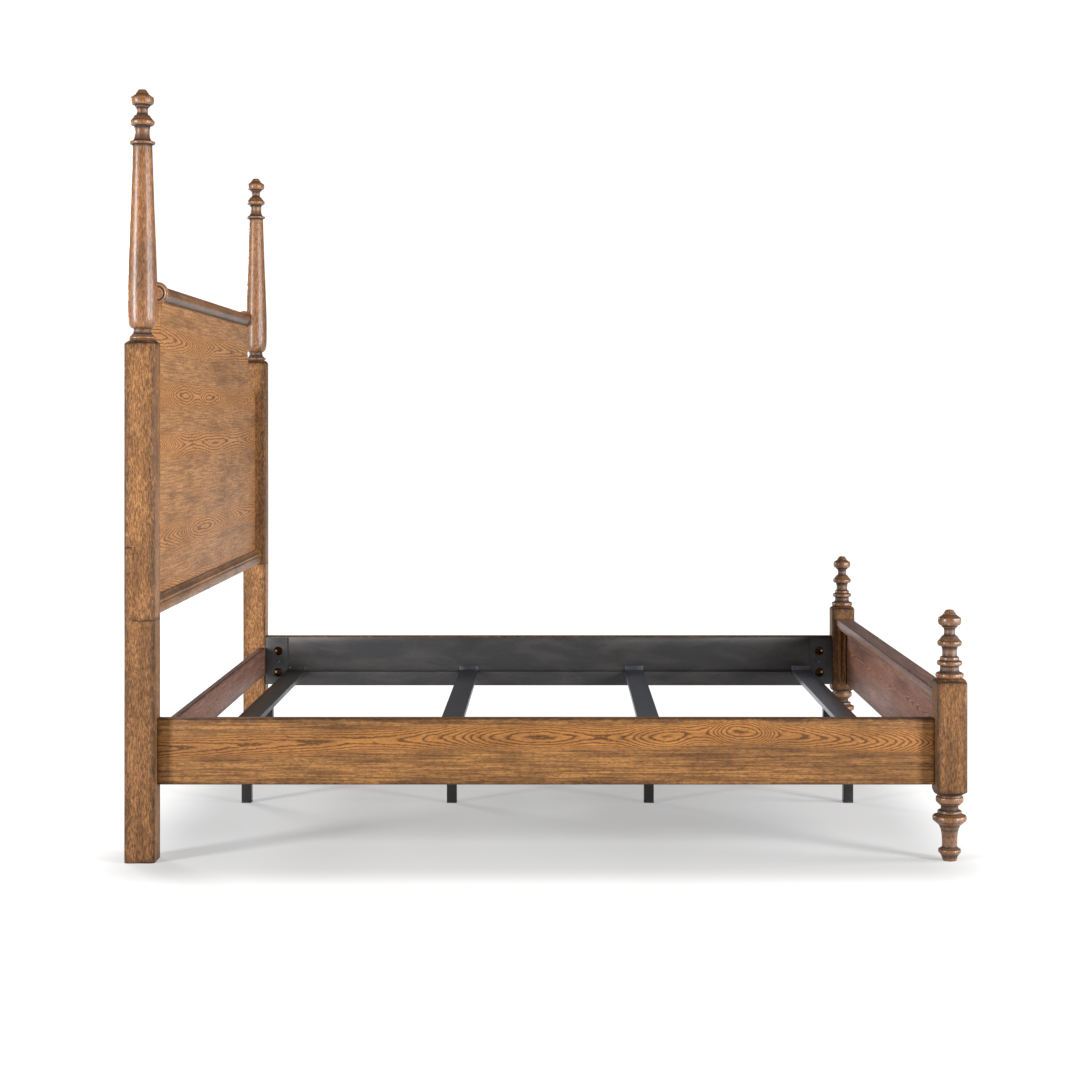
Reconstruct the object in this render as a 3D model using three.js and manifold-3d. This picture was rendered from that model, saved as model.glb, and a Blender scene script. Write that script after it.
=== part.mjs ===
// Low-foot poster bed for a king mattress: tall turned head posts, a roll-topped headboard,
// a low footboard between finialled foot posts, and oak side rails lined with blackened steel.
// Millimetres, +Z up. Origin on the floor at the middle of the bed's box.
// The head is at -X, the foot at +X, and the sleeper's sides at -Y and +Y.

import * as THREE from 'three';
import * as BufferGeometryUtils from 'three/addons/utils/BufferGeometryUtils.js';
import Module from 'manifold-3d';

const wasm = await Module();
wasm.setup();

// ---- driving dimensions -------------------------------------------------------------------

const GAP = 0.3;                 // clearance between touching pieces

const POST_SIDE = 82;            // square of every post block
const POST_CHAMFER = 5.8;        // flat on each vertical edge of a post block
const POST_PITCH_X = 2169;       // head post axis to foot post axis
const POST_PITCH_Y = 2005;       // post axis to post axis across the bed
const FOOT_BULGE_R = 45.5;       // widest bead of the turned foot, wider than the block

const HEAD_SEAT_Z = 1397;        // top of the head block, where the turning stands
const LAP_TOP_Z = 844;           // half-lap between the head leg and the block above it
const LAP_BOTTOM_Z = 646;
const LAP_TONGUE = 23;           // thickness of the leg's tongue, at the back of the post
const HEAD_KNOB_Z = 1958.5;      // neck of the head finial, below its knob

const FOOT_SEAT_Z = 490;         // top of the foot block
const FOOT_BLOCK_BOTTOM_Z = 177;
const FOOT_KNOB_Z = 561;         // neck of the foot finial, below its knob

const PANEL_SETBACK = 37;        // headboard panel's front face, behind the fronts of the posts
const PANEL_THICK = 26;
const PANEL_BOTTOM_Z = 652;
const PANEL_TOP_Z = 1524;
const ROLL_X = -1093;            // axis of the top roll
const ROLL_Z = 1537.5;
const ROLL_R = 22;
const ROLL_HALF = 780.5;         // half length over the end caps
const ROLL_CAP_R = 31.5;
const ROLL_CAP_LONG = 14.5;

const STRETCHER = { thick: 20, bottom: 240, top: 340, setback: 2.8 };

const RAIL_OUTER_Y = 1008.5;     // outer face of the side rail
const RAIL_INNER_Y = 970;        // steel face that looks into the bed
const RAIL_BOTTOM_Z = 204;
const RAIL_TOP_Z = 381;
const LINER_THICK = 3;
const LINER_INSET_Z = 4;         // liner stops this far below the rail's top edge
const LEDGE = { deep: 30, top: 254.4, wall: 3, half: 958 };
const PLATE = { long: 81, thick: 5, bottom: 209, top: 376 };
const ACCESS_R = 16.5;           // bolt access holes through plate, liner and rail
const ACCESS_FROM_POST = 47;
const ACCESS_FLOOR_Y = 1000;     // bottom of the access pocket in the rail
const ACCESS_Z = [248.6, 327];
const PLATE_SCREW_R = 4.5;

const BED_BOLT = { y: 986, shank: 4, bore: 4.6, head: 7.5, headLong: 7, reach: 45 };
const LAP_BOLT = { shank: 4, bore: 4.6, head: 9, headLong: 6, sink: 7, reach: 60, z: [695, 795] };

const SLAT_X = [-930, -297, 311, 926];
const SLAT = { wide: 68, top: 258, thick: 3, flange: 16, tab: 15 };
const LEG = { side: 30, wall: 2.5, floor: 5, y: [-205, 255] };

const FOOTBOARD = { bottom: 206, capBottom: 420, top: 446, panelThick: 17 };
const CAP_X = [1056.5, 1112.5];
const MOULD_X = 1062.5;          // inner face of the reeded moulding under the cap
const MOULD_WIDE = 31;
const MOULD_DEEP = 10;

const TURN_SEGMENTS = 12;
const ROLL_SEGMENTS = 24;
const HOLE_SEGMENTS = 16;
const BOLT_SEGMENTS = 8;
const ARC_STEPS = 3;

// ---- derived places -----------------------------------------------------------------------

const HALF_POST = POST_SIDE / 2;
const HEAD_X = -(POST_PITCH_X + FOOT_BULGE_R - HALF_POST) / 2;
const FOOT_X = HEAD_X + POST_PITCH_X;
const POST_Y = POST_PITCH_Y / 2;
const POST_INNER_Y = POST_Y - HALF_POST - GAP;
const HEAD_FRONT_X = HEAD_X + HALF_POST;
const HEAD_BACK_X = HEAD_X - HALF_POST;
const FOOT_FRONT_X = FOOT_X - HALF_POST;
const SIDES = [{ tag: 'near', s: -1 }, { tag: 'far', s: 1 }];

// ---- materials ----------------------------------------------------------------------------

const material = (color, roughness, metalness = 0) =>
  new THREE.MeshStandardMaterial({ color, roughness, metalness });

const oak = () => material('#9a6b42', 0.5);
const turnedOak = () => material('#8a5a38', 0.35);
const panelOak = () => material('#a5764a', 0.5);
const redOak = () => material('#7d5747', 0.45);
const blackSteel = () => material('#35363a', 0.45, 0.7);
const boltSteel = () => material('#b98a5c', 0.35, 0.9);

// ---- solids -------------------------------------------------------------------------------

const bed = new THREE.Group();
bed.name = 'poster_bed';

function add(name, geometry, finish) {
  const mesh = new THREE.Mesh(geometry, finish);
  mesh.name = name;
  bed.add(mesh);
}

// A box from its lowest to its highest corner.
function box(x0, x1, y0, y1, z0, z1) {
  const geometry = new THREE.BoxGeometry(x1 - x0, y1 - y0, z1 - z0);
  return geometry.translate((x0 + x1) / 2, (y0 + y1) / 2, (z0 + z1) / 2);
}

// A box on one side of the bed: y runs outward from the middle, and s is -1 or +1.
function sideBox(x0, x1, y0, y1, z0, z1, s) {
  return s > 0 ? box(x0, x1, y0, y1, z0, z1) : box(x0, x1, -y1, -y0, z0, z1);
}

// A round bar between two values of one axis, centred at u, v on the other two.
function bar(axis, from, to, u, v, radius, segments = TURN_SEGMENTS) {
  const geometry = new THREE.CylinderGeometry(radius, radius, to - from, segments);
  const middle = (from + to) / 2;
  if (axis === 'x') return geometry.rotateZ(-Math.PI / 2).translate(middle, u, v);
  if (axis === 'y') return geometry.translate(u, middle, v);
  return geometry.rotateX(Math.PI / 2).translate(u, v, middle);
}

// A flat outline of [u, v] points pushed along +Z.
function slab(points, depth) {
  const shape = new THREE.Shape(points.map(([u, v]) => new THREE.Vector2(u, v)));
  return new THREE.ExtrudeGeometry(shape, { depth, bevelEnabled: false });
}

// A turned outline, read upward as [kind, radius, height]. 'to' is straight, 'round' a convex
// quarter and 'hollow' a concave quarter; both are upright where the turning is widest or
// narrowest and level at their other end.
function outline(profile) {
  const path = new THREE.Path();
  let [, r, z] = profile[0];
  path.moveTo(0, z);
  path.lineTo(r, z);
  for (const [kind, nextR, nextZ] of profile.slice(1)) {
    const widening = nextR > r;
    if (kind === 'to') path.lineTo(nextR, nextZ);
    if (kind === 'round') path.quadraticCurveTo(Math.max(r, nextR), widening ? z : nextZ, nextR, nextZ);
    if (kind === 'hollow') path.quadraticCurveTo(Math.min(r, nextR), widening ? nextZ : z, nextR, nextZ);
    r = nextR;
    z = nextZ;
  }
  if (r > 0) path.lineTo(0, z);
  return path.getPoints(ARC_STEPS);
}

// The outline turned about Z.
function turning(profile, segments = TURN_SEGMENTS) {
  return new THREE.LatheGeometry(outline(profile), segments).rotateX(Math.PI / 2);
}

const raised = (profile, lift) => profile.map(([kind, r, z]) => [kind, r, z + lift]);

// ---- joining and cutting ------------------------------------------------------------------

function toSolid(geometry) {
  const bare = geometry.clone();
  bare.deleteAttribute('normal');
  bare.deleteAttribute('uv');
  const merged = BufferGeometryUtils.mergeVertices(bare, 1e-4);
  return new wasm.Manifold(new wasm.Mesh({
    numProp: 3,
    vertProperties: new Float32Array(merged.attributes.position.array),
    triVerts: new Uint32Array(merged.index.array),
  }));
}

function toGeometry(solid) {
  const mesh = solid.getMesh();
  const geometry = new THREE.BufferGeometry();
  geometry.setAttribute('position', new THREE.BufferAttribute(new Float32Array(mesh.vertProperties), 3));
  geometry.setIndex(new THREE.BufferAttribute(new Uint32Array(mesh.triVerts), 1));
  geometry.computeVertexNormals();
  return geometry;
}

function cut(geometry, tools) {
  return toGeometry(tools.reduce((solid, tool) => solid.subtract(toSolid(tool)), toSolid(geometry)));
}

function join(geometries) {
  return toGeometry(geometries.map(toSolid).reduce((whole, next) => whole.add(next)));
}

function common(a, b) {
  return toGeometry(toSolid(a).intersect(toSolid(b)));
}

// ---- turned outlines ----------------------------------------------------------------------

// Knob shared by all four finials, from the neck below its saucer ring to the button on top.
const KNOB = [
  ['to', 19.6, 0],
  ['hollow', 26, 15],
  ['round', 32.5, 24],
  ['round', 30, 28.5],
  ['to', 21.5, 39.5],
  ['to', 20.8, 42],
  ['hollow', 14.7, 50],
  ['to', 14.7, 56],
  ['hollow', 19.2, 64.5],
  ['to', 20.2, 67.5],
  ['to', 24, 71],
  ['round', 30.8, 83],
  ['round', 26.8, 92.5],
  ['to', 17.2, 99.5],
  ['to', 16.6, 101.8],
  ['to', 12, 108.5],
  ['round', 0, 112.5],
];

// Collar, bulb and tapered shaft of the head post, up to the ring under its knob.
const HEAD_SHAFT = [
  ['to', 32.5, 0],
  ['to', 32.5, 2.5],
  ['round', 36.8, 5.5],
  ['round', 33.4, 10],
  ['to', 31, 11],
  ['round', 29.6, 14],
  ['hollow', 23.7, 30],
  ['to', 23.7, 31.5],
  ['round', 39.5, 71],
  ['to', 40, 118],
  ['to', 39.3, 164],
  ['to', 35.9, 260],
  ['to', 31.5, 366],
  ['to', 26.3, 521],
  ['hollow', 32.4, 526],
  ['round', 34.2, 529.5],
  ['round', 31.8, 533],
  ['hollow', 19.6, 556],
];

// Base ring, cove, ring and bead of the foot finial, up to the neck under its knob.
const FOOT_BASE = [
  ['to', 34.5, 0],
  ['to', 35, 2],
  ['round', 37.5, 7.5],
  ['round', 34, 13.5],
  ['to', 31.5, 15],
  ['hollow', 25.2, 24],
  ['to', 25.2, 29],
  ['hollow', 29, 34],
  ['round', 33.6, 39.5],
  ['round', 29, 46],
  ['to', 24.6, 47.5],
  ['round', 25.8, 51.5],
  ['round', 23.4, 56.5],
  ['hollow', 19.4, 65],
];

// Turned foot: pad, ankle bead, vase, wide bulge, small ring, neck and top ring.
const TURNED_FOOT = [
  ['to', 17.5, 0],
  ['round', 19, 2.5],
  ['to', 21.4, 11],
  ['to', 24.6, 17],
  ['to', 28.6, 21.5],
  ['round', 30.4, 26],
  ['round', 27, 31.5],
  ['to', 21.4, 36],
  ['hollow', 20.1, 44],
  ['to', 20.8, 66],
  ['to', 23.4, 82],
  ['to', 28.6, 95],
  ['to', 36.5, 101.5],
  ['to', 43, 107.5],
  ['round', FOOT_BULGE_R, 113.5],
  ['round', 40.5, 122],
  ['to', 31, 127],
  ['round', 32.6, 130.5],
  ['round', 28.6, 135],
  ['hollow', 23.4, 142],
  ['to', 23.4, 147.5],
  ['to', 27.4, 149.5],
  ['to', 33.5, 156],
  ['round', 36.8, 163],
  ['to', 36.8, 168],
  ['round', 33, 172],
  ['to', 33, FOOT_BLOCK_BOTTOM_Z - GAP],
];

// Roll end cap, read outward from the roll: ring, groove and domed button.
const ROLL_CAP = [
  ['to', ROLL_R, 0],
  ['to', 25.5, 0],
  ['round', ROLL_CAP_R, 6.5],
  ['round', 27, 12],
  ['to', 22.4, ROLL_CAP_LONG - 3],
  ['to', 19.6, 7.5],
  ['to', 18.4, 7.5],
  ['to', 17.6, 11],
  ['round', 13, ROLL_CAP_LONG - 1],
  ['to', 6, ROLL_CAP_LONG],
];

// ---- posts --------------------------------------------------------------------------------

// A square prism with flattened edges, standing on the origin's plane at z0.
function squarePrism(x, y, z0, z1) {
  const h = HALF_POST;
  const c = HALF_POST - POST_CHAMFER;
  const ring = [[h, -c], [h, c], [c, h], [-c, h], [-h, c], [-h, -c], [-c, -h], [c, -h]];
  return slab(ring, z1 - z0).translate(x, y, z0);
}

// What the lathe leaves of a square block: shoulders that fall away toward the corners.
const SHOULDER = [[34, 0], [HALF_POST, -4.5], [54, -11], [63, -16]];

function shoulderedBlank(bottom, top, turnedBottom) {
  const upper = SHOULDER.map(([r, drop]) => ['to', r, top + drop]).reverse();
  const lower = SHOULDER.map(([r, drop]) => ['to', r, bottom - drop]);
  const foot = turnedBottom ? lower : [['to', SHOULDER.at(-1)[0], bottom]];
  return turning([...foot, ...upper], HOLE_SEGMENTS);
}

function bedBoltBores(x0, x1, s) {
  return ACCESS_Z.map((z) => bar('x', x0, x1, s * BED_BOLT.y, z, BED_BOLT.bore, BOLT_SEGMENTS));
}

function lapBoltBores(s) {
  const y = s * POST_Y;
  const tip = HEAD_BACK_X + LAP_BOLT.reach + 1;
  const sinkFloor = HEAD_BACK_X + LAP_BOLT.sink;
  return LAP_BOLT.z.flatMap((z) => [
    bar('x', HEAD_BACK_X - 1, tip, y, z, LAP_BOLT.bore, BOLT_SEGMENTS),
    bar('x', HEAD_BACK_X - 1, sinkFloor, y, z, LAP_BOLT.head + 1, HOLE_SEGMENTS),
  ]);
}

function addHeadPost({ tag, s }) {
  const y = s * POST_Y;
  const seam = HEAD_BACK_X + LAP_TONGUE;
  const beyond = HALF_POST + 1;

  const legBlank = squarePrism(HEAD_X, y, 0, LAP_TOP_Z - GAP);
  const legNotch = box(seam, HEAD_X + beyond, y - beyond, y + beyond, LAP_BOTTOM_Z - GAP, LAP_TOP_Z + 1);
  const legBores = bedBoltBores(HEAD_FRONT_X - BED_BOLT.reach - 1, HEAD_FRONT_X + 1, s);
  add(`head_leg_${tag}`, cut(legBlank, [legNotch, ...legBores, ...lapBoltBores(s)]), oak());

  const blank = shoulderedBlank(LAP_BOTTOM_Z, HEAD_SEAT_Z, false).translate(HEAD_X, y, 0);
  const prism = squarePrism(HEAD_X, y, LAP_BOTTOM_Z, HEAD_SEAT_Z + 1);
  const notch = box(HEAD_X - beyond, seam + GAP, y - beyond, y + beyond, LAP_BOTTOM_Z - 1, LAP_TOP_Z);
  add(`head_post_block_${tag}`, cut(common(prism, blank), [notch, ...lapBoltBores(s)]), oak());

  const knob = raised(KNOB, HEAD_KNOB_Z);
  const shaft = raised(HEAD_SHAFT, HEAD_SEAT_Z + GAP);
  add(`head_post_turning_${tag}`, turning([...shaft, ...knob]).translate(HEAD_X, y, 0), turnedOak());
}

function addFootPost({ tag, s }) {
  const y = s * POST_Y;
  const blank = shoulderedBlank(FOOT_BLOCK_BOTTOM_Z, FOOT_SEAT_Z, true).translate(FOOT_X, y, 0);
  const prism = squarePrism(FOOT_X, y, FOOT_BLOCK_BOTTOM_Z - 1, FOOT_SEAT_Z + 1);
  const bores = bedBoltBores(FOOT_FRONT_X - 1, FOOT_FRONT_X + BED_BOLT.reach + 1, s);
  add(`foot_post_block_${tag}`, cut(common(prism, blank), bores), oak());

  const finial = [...raised(FOOT_BASE, FOOT_SEAT_Z + GAP), ...raised(KNOB, FOOT_KNOB_Z)];
  add(`foot_finial_${tag}`, turning(finial).translate(FOOT_X, y, 0), turnedOak());
  add(`turned_foot_${tag}`, turning(TURNED_FOOT).translate(FOOT_X, y, 0), turnedOak());
}

// Round-headed bolt through the back of the lap, its head standing in a shallow counterbore.
function addLapBolts({ tag, s }) {
  LAP_BOLT.z.forEach((z, i) => {
    const under = HEAD_BACK_X + LAP_BOLT.sink - GAP;
    const head = bar('x', under - LAP_BOLT.headLong, under, s * POST_Y, z, LAP_BOLT.head, HOLE_SEGMENTS);
    const tip = HEAD_BACK_X + LAP_BOLT.reach;
    const shank = bar('x', under - 1, tip, s * POST_Y, z, LAP_BOLT.shank, BOLT_SEGMENTS);
    add(`lap_bolt_${tag}_${i + 1}`, join([head, shank]), boltSteel());
  });
}

// ---- headboard ----------------------------------------------------------------------------

// One end of the panel's top edge, as [inset from the post, height]: from the post, up the
// scooped shoulder and in under the roll.
const SHOULDER_CURVE = [[0, 1262], [25, 1273], [88, 1321], [142, 1357], [168, 1385], [181, 1430],
  [191, 1478], [208, 1508]];

// Moulding along the panel's bottom edge: flat face, quirk, nose and cove, as [out, up].
const BASE_MOULDING = [[0, 45], [0, 0], [19, 0], [19, 24], [14.5, 26], [14.5, 28], [16, 31], [14, 34],
  [9, 36], [4, 40], [1.5, 45]];

function panelOutline() {
  const edge = SHOULDER_CURVE.map(([inset, z]) => new THREE.Vector2(POST_INNER_Y - inset, z));
  const scoop = new THREE.SplineCurve(edge).getPoints(14).map((p) => [p.x, p.y]);
  const half = [[POST_INNER_Y, PANEL_BOTTOM_Z], ...scoop, [scoop.at(-1)[0], PANEL_TOP_Z]];
  const mirrored = half.map(([y, z]) => [-y, z]).reverse();
  return [...half, ...mirrored];
}

// Stand an outline drawn in (y, z) upright across the bed, its front face at x.
function across(points, frontX, thick) {
  return slab(points, thick).rotateX(Math.PI / 2).rotateZ(Math.PI / 2).translate(frontX - thick, 0, 0);
}

function addHeadboard() {
  const frontX = HEAD_FRONT_X - PANEL_SETBACK;
  const nest = bar('y', -ROLL_HALF, ROLL_HALF, ROLL_X, ROLL_Z, ROLL_R + GAP, ROLL_SEGMENTS);
  add('headboard_panel', cut(across(panelOutline(), frontX, PANEL_THICK), [nest]), panelOak());

  const rollEnd = ROLL_HALF - ROLL_CAP_LONG - GAP;
  add('headboard_roll', bar('y', -rollEnd, rollEnd, ROLL_X, ROLL_Z, ROLL_R, ROLL_SEGMENTS), turnedOak());
  for (const { tag, s } of SIDES) {
    const cap = turning(ROLL_CAP).rotateX(-s * Math.PI / 2);
    add(`roll_end_cap_${tag}`, cap.translate(ROLL_X, s * (ROLL_HALF - ROLL_CAP_LONG), ROLL_Z), turnedOak());
  }

  const moulding = slab(BASE_MOULDING, 2 * POST_INNER_Y).rotateX(Math.PI / 2);
  add('headboard_bottom_moulding', moulding.translate(frontX + GAP, POST_INNER_Y, PANEL_BOTTOM_Z), oak());

  const front = HEAD_FRONT_X - STRETCHER.setback;
  const { thick, bottom, top } = STRETCHER;
  add('head_stretcher', box(front - thick, front, -POST_INNER_Y, POST_INNER_Y, bottom, top), redOak());
}

// ---- footboard ----------------------------------------------------------------------------

// Reeded moulding section: a square front fillet, a groove and a smaller back reed.
const REED = [[0, 0], [0, 1], [10, 1], [10, 0.3], [22, 0.3], [22, 0.75], [28, 0.75], [MOULD_WIDE, 0.45],
  [MOULD_WIDE, 0]];
const reedSection = () => REED.map(([x, out]) => [x, out * MOULD_DEEP]);

function addFootboard() {
  const y = POST_INNER_Y;
  const [capIn, capOut] = CAP_X;
  add('footboard_cap', box(capIn, capOut, -y, y, FOOTBOARD.capBottom, FOOTBOARD.top), redOak());

  const underCap = FOOTBOARD.capBottom - GAP;
  const panelX = MOULD_X + MOULD_WIDE + GAP;
  const panel = box(panelX, panelX + FOOTBOARD.panelThick, -y, y, FOOTBOARD.bottom, underCap);
  add('footboard_panel', panel, redOak());

  const hanging = reedSection().map(([x, out]) => [x, -out]).reverse();
  const top = slab(hanging, 2 * y).rotateX(Math.PI / 2).translate(MOULD_X, y, underCap);
  add('footboard_moulding_top', top, redOak());
  const stileTop = underCap - MOULD_DEEP - GAP;
  for (const { tag, s } of SIDES) {
    const section = s < 0 ? reedSection().reverse() : reedSection().map(([x, out]) => [x, -out]);
    const stile = slab(section, stileTop - FOOTBOARD.bottom);
    add(`footboard_moulding_${tag}`, stile.translate(MOULD_X, s * y, FOOTBOARD.bottom), redOak());
  }
}

// ---- side rails ---------------------------------------------------------------------------

const RAIL_ENDS = [
  { end: 'head', postX: HEAD_FRONT_X, d: 1 },
  { end: 'foot', postX: FOOT_FRONT_X, d: -1 },
];

const span = (a, b) => [Math.min(a, b), Math.max(a, b)];

// Round holes of the bolt access pockets at both ends of one rail, from y0 out to y1.
function accessHoles(y0, y1, s) {
  return RAIL_ENDS.flatMap(({ postX, d }) => ACCESS_Z.map((z) => {
    const [from, to] = span(s * y0, s * y1);
    return bar('y', from, to, postX + d * ACCESS_FROM_POST, z, ACCESS_R, HOLE_SEGMENTS);
  }));
}

function addSideRail({ tag, s }) {
  const x0 = HEAD_FRONT_X + GAP;
  const x1 = FOOT_FRONT_X - GAP;
  const woodInner = RAIL_INNER_Y + LINER_THICK + GAP;
  const board = sideBox(x0, x1, woodInner, RAIL_OUTER_Y, RAIL_BOTTOM_Z, RAIL_TOP_Z, s);
  const bores = RAIL_ENDS.flatMap(({ postX, d }) => {
    const [from, to] = span(postX - d, postX + d * ACCESS_FROM_POST);
    return bedBoltBores(from, to, s);
  });
  const pockets = accessHoles(woodInner - 1, ACCESS_FLOOR_Y, s);
  add(`side_rail_${tag}`, cut(board, [...pockets, ...bores]), oak());

  const linerTop = RAIL_TOP_Z - LINER_INSET_Z;
  const sheet = sideBox(x0, x1, RAIL_INNER_Y, RAIL_INNER_Y + LINER_THICK, RAIL_BOTTOM_Z, linerTop, s);
  const holes = accessHoles(RAIL_INNER_Y - 1, RAIL_INNER_Y + LINER_THICK + 1, s);
  add(`rail_liner_${tag}`, cut(sheet, holes), blackSteel());

  addLedge(tag, s);
  RAIL_ENDS.forEach((railEnd) => addEndPlate(tag, s, railEnd));
  RAIL_ENDS.forEach((railEnd) => addBedBolts(tag, s, railEnd));
}

// Rectangular tube that carries the slats, open at both ends.
function addLedge(tag, s) {
  const outer = RAIL_INNER_Y - GAP;
  const inner = outer - LEDGE.deep;
  const w = LEDGE.wall;
  const tube = sideBox(-LEDGE.half, LEDGE.half, inner, outer, RAIL_BOTTOM_Z, LEDGE.top, s);
  const hollow = sideBox(-LEDGE.half - 1, LEDGE.half + 1, inner + w, outer - w,
    RAIL_BOTTOM_Z + w, LEDGE.top - w, s);
  add(`rail_ledge_${tag}`, cut(tube, [hollow]), blackSteel());
}

function addEndPlate(tag, s, { end, postX, d }) {
  const outer = RAIL_INNER_Y - GAP;
  const inner = outer - PLATE.thick;
  const [x0, x1] = span(postX + d * GAP, postX + d * PLATE.long);
  const plate = sideBox(x0, x1, inner, outer, PLATE.bottom, PLATE.top, s);
  const holes = accessHoles(inner - 1, outer + 1, s);
  const [from, to] = span(s * (inner - 1), s * (outer + 1));
  const middleZ = (ACCESS_Z[0] + ACCESS_Z[1]) / 2;
  const screwHole = bar('y', from, to, postX + d * ACCESS_FROM_POST, middleZ, PLATE_SCREW_R, BOLT_SEGMENTS);
  add(`rail_end_plate_${tag}_${end}`, cut(plate, [...holes, screwHole]), blackSteel());
}

// Hexagon bolt whose head stands in the access pocket and whose shank ends in the post.
function addBedBolts(tag, s, { end, postX, d }) {
  ACCESS_Z.forEach((z, i) => {
    const pocketX = postX + d * ACCESS_FROM_POST;
    const seat = pocketX - d * (Math.sqrt(ACCESS_R ** 2 - BED_BOLT.head ** 2) - 2 * GAP);
    const [headFrom, headTo] = span(seat, seat + d * BED_BOLT.headLong);
    const [shankFrom, shankTo] = span(postX - d * BED_BOLT.reach, seat + d);
    const head = bar('x', headFrom, headTo, s * BED_BOLT.y, z, BED_BOLT.head, 6);
    const shank = bar('x', shankFrom, shankTo, s * BED_BOLT.y, z, BED_BOLT.shank, BOLT_SEGMENTS);
    add(`bed_bolt_${tag}_${end}_${i + 1}`, join([head, shank]), boltSteel());
  });
}

// ---- slats --------------------------------------------------------------------------------

// Folded steel slat: a flat top, flanges that stop short of the ledges, and upturned end tabs.
function slat(x) {
  const half = SLAT.wide / 2;
  const end = RAIL_INNER_Y - GAP;
  const flangeEnd = end - LEDGE.deep - 1;
  const under = SLAT.top - SLAT.thick;
  const plate = box(x - half, x + half, -end, end, under, SLAT.top);
  const flanges = [-1, 1].map((side) => {
    const [x0, x1] = span(x + side * half, x + side * (half - SLAT.thick));
    return box(x0, x1, -flangeEnd, flangeEnd, SLAT.top - SLAT.flange, under + 1);
  });
  const tabs = SIDES.map(({ s }) =>
    sideBox(x - half, x + half, end - SLAT.thick, end, under + 1, SLAT.top + SLAT.tab, s));
  return join([plate, ...flanges, ...tabs]);
}

// Square tube leg standing on the floor under a slat, closed at its foot.
function slatLeg(x, y) {
  const h = LEG.side / 2;
  const top = SLAT.top - SLAT.thick - GAP;
  const tube = box(x - h, x + h, y - h, y + h, 0, top);
  const inner = h - LEG.wall;
  return cut(tube, [box(x - inner, x + inner, y - inner, y + inner, LEG.floor, top + 1)]);
}

function addSlats() {
  SLAT_X.forEach((x, i) => {
    add(`slat_${i + 1}`, slat(x), blackSteel());
    LEG.y.forEach((y, side) => add(`slat_leg_${i + 1}_${SIDES[side].tag}`, slatLeg(x, y), blackSteel()));
  });
}

// ---- the bed ------------------------------------------------------------------------------

for (const side of SIDES) {
  addHeadPost(side);
  addLapBolts(side);
  addFootPost(side);
  addSideRail(side);
}
addHeadboard();
addFootboard();
addSlats();

export default bed;
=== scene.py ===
import math

import bmesh
import bpy
from mathutils import Matrix, Vector, noise


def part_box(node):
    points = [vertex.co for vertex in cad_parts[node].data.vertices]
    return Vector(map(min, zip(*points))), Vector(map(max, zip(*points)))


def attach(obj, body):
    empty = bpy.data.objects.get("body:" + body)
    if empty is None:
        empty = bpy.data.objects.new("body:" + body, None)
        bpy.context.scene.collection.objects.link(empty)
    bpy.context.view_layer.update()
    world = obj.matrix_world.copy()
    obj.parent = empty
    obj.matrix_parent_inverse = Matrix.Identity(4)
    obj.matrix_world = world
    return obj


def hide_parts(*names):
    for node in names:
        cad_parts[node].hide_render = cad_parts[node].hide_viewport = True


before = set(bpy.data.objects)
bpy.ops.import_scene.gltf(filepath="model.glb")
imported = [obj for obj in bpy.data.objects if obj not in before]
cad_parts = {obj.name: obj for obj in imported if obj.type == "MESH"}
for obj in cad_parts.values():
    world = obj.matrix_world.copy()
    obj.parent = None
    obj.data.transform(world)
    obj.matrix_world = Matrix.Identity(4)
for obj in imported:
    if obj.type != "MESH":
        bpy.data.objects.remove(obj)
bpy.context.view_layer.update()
scene = bpy.context.scene

MM = 0.001
Z_AXIS = 2
SIDES = (("near", -1), ("far", 1))
ENDS = (("head", 1), ("foot", -1))

# ---- camera -------------------------------------------------------------------------------

camera = bpy.data.objects.new("camera", bpy.data.cameras.new("camera"))
scene.collection.objects.link(camera)
camera.location = (0.02645, -6.3145, 1.196)
camera.rotation_euler = (math.radians(90), 0, 0)
camera.data.sensor_width = 36
camera.data.lens = 65.9
camera.data.shift_x = -0.0154
camera.data.shift_y = -0.1157
camera.data.clip_end = 100
scene.camera = camera

# ---- shader graphs ------------------------------------------------------------------------


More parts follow.
